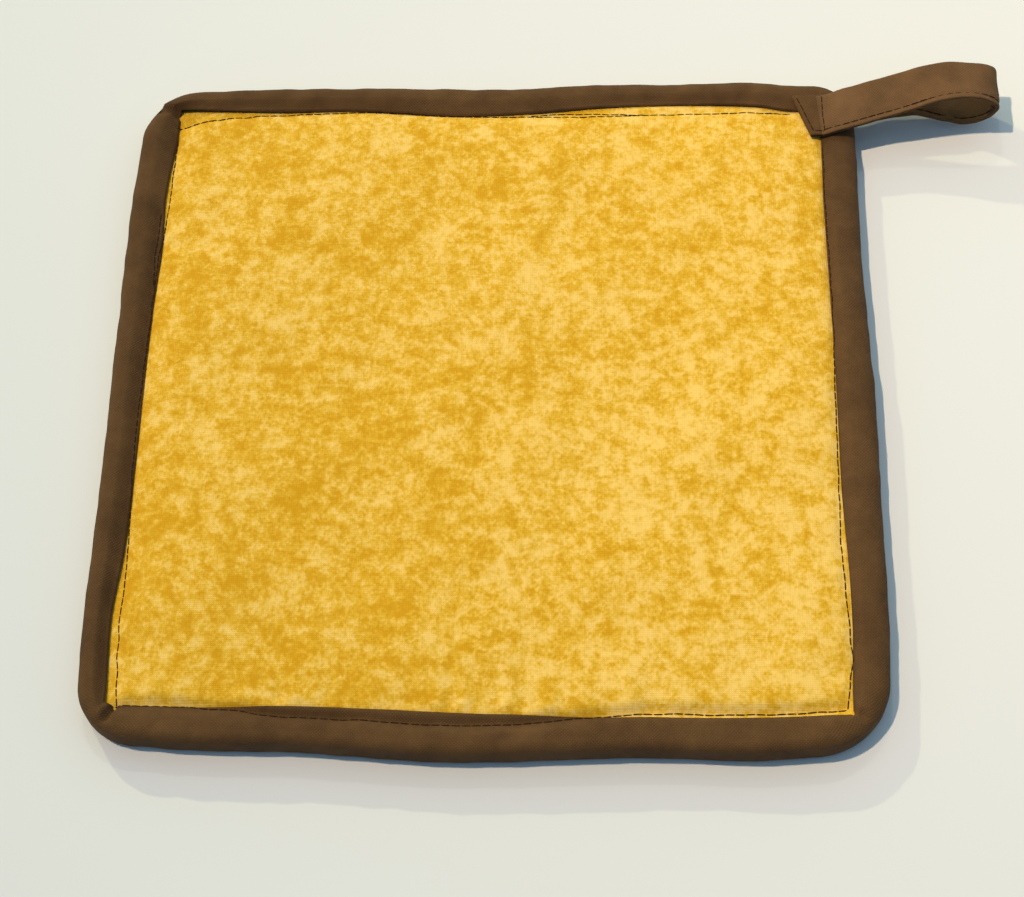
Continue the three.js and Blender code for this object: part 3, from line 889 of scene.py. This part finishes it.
def spunThreadFinish():
    # spun polyester sewing thread, dark brown: its twist catches a little light
    material, tree = newMaterial("spunPolyesterThread")
    place = addNode(tree, "ShaderNodeTexCoord").outputs["Object"]
    twist = addNode(tree, "ShaderNodeTexNoise", {}, {
        "Vector": place, "Scale": 1000 / spunThread["twistPitch"], "Detail": 2.0})
    bump = addNode(tree, "ShaderNodeBump", {}, {
        "Height": twist.outputs["Fac"], "Strength": 0.4,
        "Distance": spunThread["twistHeight"] * mm})
    surface = addNode(tree, "ShaderNodeBsdfPrincipled", {}, {
        "Base Color": linear(spunThread["colour"]), "Roughness": 0.8, "Specular IOR Level": 0.1,
        "Normal": bump.outputs[0]})
    addNode(tree, "ShaderNodeOutputMaterial", {}, {"Surface": surface.outputs[0]})
    return material


tableTop = {"colour": "#E2E2DE", "size": 6.0}  # m


def makeFloor():
    # a smooth pale table top, a little glossy
    half = tableTop["size"] / 2 / mm
    corners = [(-half, -half, 0), (half, -half, 0), (half, half, 0), (-half, half, 0)]
    floor = meshObject("floor", corners, [[0, 1, 2, 3]], smooth=False)
    material, tree = newMaterial("paleTable")
    surface = addNode(tree, "ShaderNodeBsdfPrincipled", {}, {
        "Base Color": linear(tableTop["colour"]), "Roughness": 0.55, "Specular IOR Level": 0.3})
    addNode(tree, "ShaderNodeOutputMaterial", {}, {"Surface": surface.outputs[0]})
    floor.data.materials.append(material)


# The camera, as the photograph was taken: angles in degrees, distances in mm.
cameraLook = {
    "elevation": 61.29,
    "azimuth": 4.58,
    "roll": -4.0,
    "distance": 566.1,
    "target": (6.49, -13.38, 0),
    "focal": 75.4,
    "sensor": 36,
    "nearest": 0.01,  # m
    "farthest": 20,  # m
}


def makeCamera():
    look = cameraLook
    elevation, azimuth = math.radians(look["elevation"]), math.radians(look["azimuth"])
    forward = -Vector((math.sin(azimuth) * math.cos(elevation),
                       -math.cos(azimuth) * math.cos(elevation), math.sin(elevation)))
    right = forward.cross(Vector((0, 0, 1))).normalized()
    up = right.cross(forward)
    turn = Matrix.Rotation(-math.radians(look["roll"]), 3, forward)
    right, up = turn @ right, turn @ up
    data = bpy.data.cameras.new("camera")
    data.sensor_width = look["sensor"]
    data.lens = look["focal"]
    data.clip_start, data.clip_end = look["nearest"], look["farthest"]
    camera = bpy.data.objects.new("camera", data)
    place = (Vector(look["target"]) - forward * look["distance"]) * mm
    facing = Matrix((right, up, -forward)).transposed()
    camera.matrix_world = Matrix.Translation(place) @ facing.to_4x4()
    bpy.context.scene.collection.objects.link(camera)
    bpy.context.scene.camera = camera


# from: the way to the light, aim: the place on the table that it points at, in m, spread: the
# angle of its beam in degrees. The lamp is a little brighter towards the right and the back.
lights = {
    "lamp": {"from": (-0.42, 0.05, 1.0), "distance": 2.2, "size": 0.08, "power": 3.6, "spread": 50,
             "aim": (0.50, 0.14, 0), "colour": "#FFE6C7"},
    "secondLamp": {"from": (-1.04, 1.55, 1.0), "distance": 3.0, "size": 0.06, "power": 24,
                   "spread": 180, "aim": (0, 0, 0), "colour": "#FFFFC8"},
    "farLamp": {"from": (-0.1, 0.78, 1.0), "distance": 3.0, "size": 0.08, "power": 5.5,
                "spread": 180, "aim": (0, 0, 0), "colour": "#FFFFF0"},
}
# The room's own dim light, as colours: it is darker and bluer on the camera's side.
roomLight = {"near": "#205A86", "far": "#C9DEE8"}


def makeLights():
    for name, look in lights.items():
        data = bpy.data.lights.new(name, "AREA")
        data.shape = "DISK"
        data.size = look["size"]
        data.energy = look["power"]
        data.spread = math.radians(look["spread"])
        data.color = linear(look["colour"])[:3]
        lamp = bpy.data.objects.new(name, data)
        lamp.location = Vector(look["from"]).normalized() * look["distance"]
        lamp.rotation_mode = "QUATERNION"
        lamp.rotation_quaternion = (Vector(look["aim"]) - lamp.location).to_track_quat("-Z", "Y")
        bpy.context.scene.collection.objects.link(lamp)
    world = bpy.data.worlds.new("room")
    world.use_nodes = True
    tree = world.node_tree
    tree.nodes.clear()
    facing = addNode(tree, "ShaderNodeTexCoord").outputs["Generated"]
    depth = addNode(tree, "ShaderNodeSeparateXYZ", {}, {0: facing}).outputs["Y"]
    share = addNode(tree, "ShaderNodeMapRange", {}, {"Value": depth, "From Min": -1, "From Max": 1})
    tint = addNode(tree, "ShaderNodeMix", {"data_type": "RGBA"}, {
        0: share.outputs[0], 6: linear(roomLight["near"]), 7: linear(roomLight["far"])})
    back = addNode(tree, "ShaderNodeBackground", {}, {"Color": tint.outputs[2], "Strength": 1.0})
    addNode(tree, "ShaderNodeOutputWorld", {}, {"Surface": back.outputs[0]})
    bpy.context.scene.world = world
    bpy.context.scene.view_settings.view_transform = "Standard"


makeCamera()
print("camera set")
pad = makePad()
pad.data.materials.append(printedCottonCloth())
print("pad made:", len(pad.data.polygons), "faces")
binding = makeBinding()
tape = biasTapeCloth(biasTape)
binding.data.materials.append(tape)
print("binding made:", len(binding.data.polygons), "faces")
loop, sectionPoints = makeLoop()
keepSewnEndWithoutSheen(loop, sectionPoints, tape)
print("loop made:", len(loop.data.polygons), "faces")

thread = spunThreadFinish()
edgeCloth = surfaceOf([pad, binding])
allCloth = surfaceOf([pad, binding, loop])
sewing = [
    joinedThreads("edgeStitchesTop", edgeRuns(edgeCloth, True)),
    joinedThreads("edgeStitchesUnder", edgeRuns(edgeCloth, False)),
    joinedThreads("loopStitches", loopRuns()),
    joinedThreads("loopEndStitches", tackRuns(allCloth)),
]
for stitches in sewing:
    stitches.data.materials.append(thread)
    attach(stitches, "root")
    print(stitches.name, "made:", len(stitches.data.polygons), "faces")

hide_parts("pad")
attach(pad, "root")
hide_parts("binding")
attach(binding, "root")
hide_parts("hanging_loop")
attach(loop, "root")

makeFloor()
makeLights()
print("floor and lights set")
